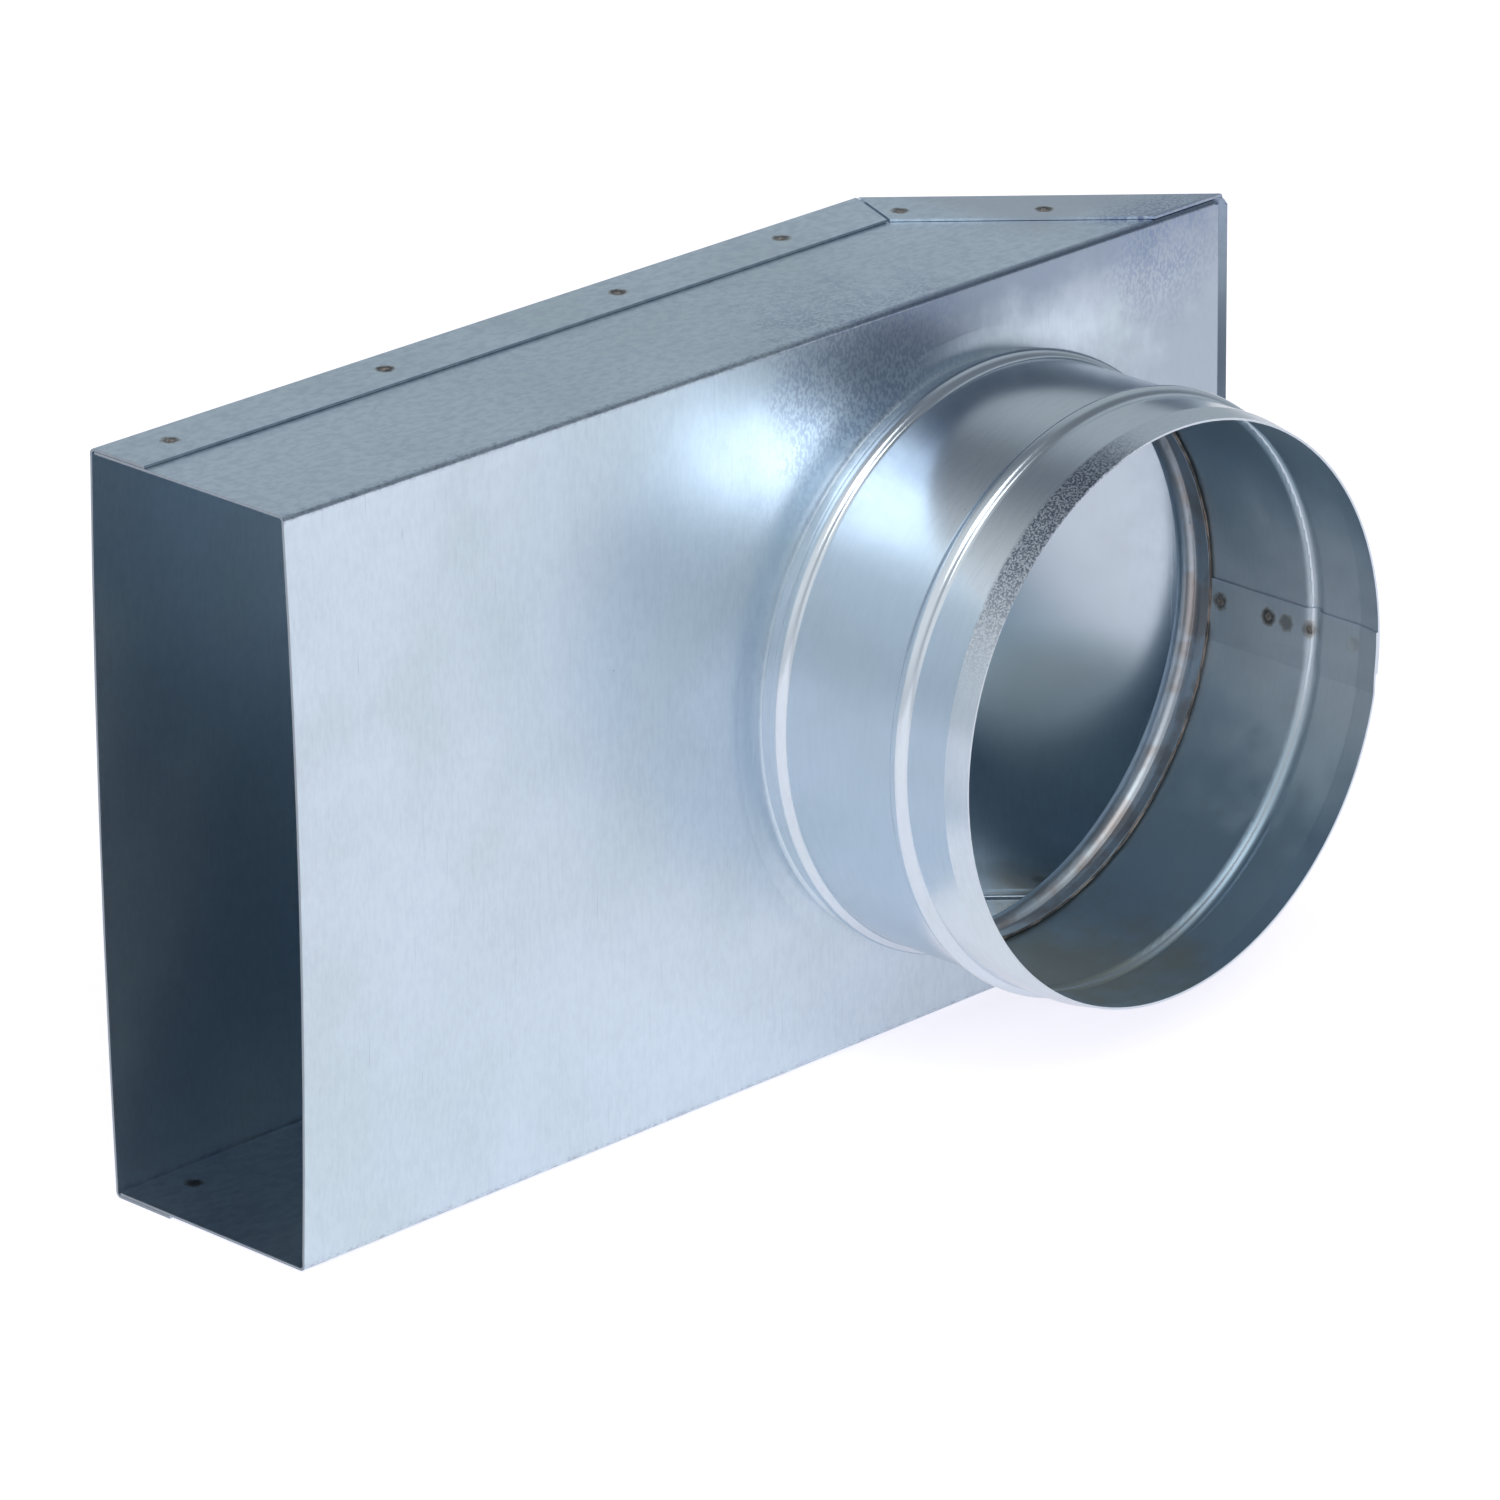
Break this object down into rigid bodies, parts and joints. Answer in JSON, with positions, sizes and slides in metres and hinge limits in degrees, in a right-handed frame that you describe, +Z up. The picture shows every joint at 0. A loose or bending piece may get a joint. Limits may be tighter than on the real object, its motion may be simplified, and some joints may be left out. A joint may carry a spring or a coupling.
{
  "type": "flat duct transition",
  "caption": "Flat rectangular duct end turning at right angles into a round male spigot, folded and spot-welded from zinc coated steel sheet, with a slanted end wall.",
  "frame": {"origin": "middle of the bounding box in length and depth, on the surface that the lower laps stand on", "axes": "+X from the open flat end to the slanted end, -Y out of the round spigot, +Z up along the height of the flat end"},
  "size_m": [0.34, 0.1446, 0.2016],
  "materials": {
    "box_sheet": "hot-dip zinc coating, dull blue-grey with fine grain",
    "spigot_sheet": "hot-dip zinc coating, smoother and brighter"
  },
  "bodies": {
    "root": {"front_shell": "box_sheet", "back_cover": "box_sheet", "round_spigot": "spigot_sheet"}
  },
  "joints": []
}
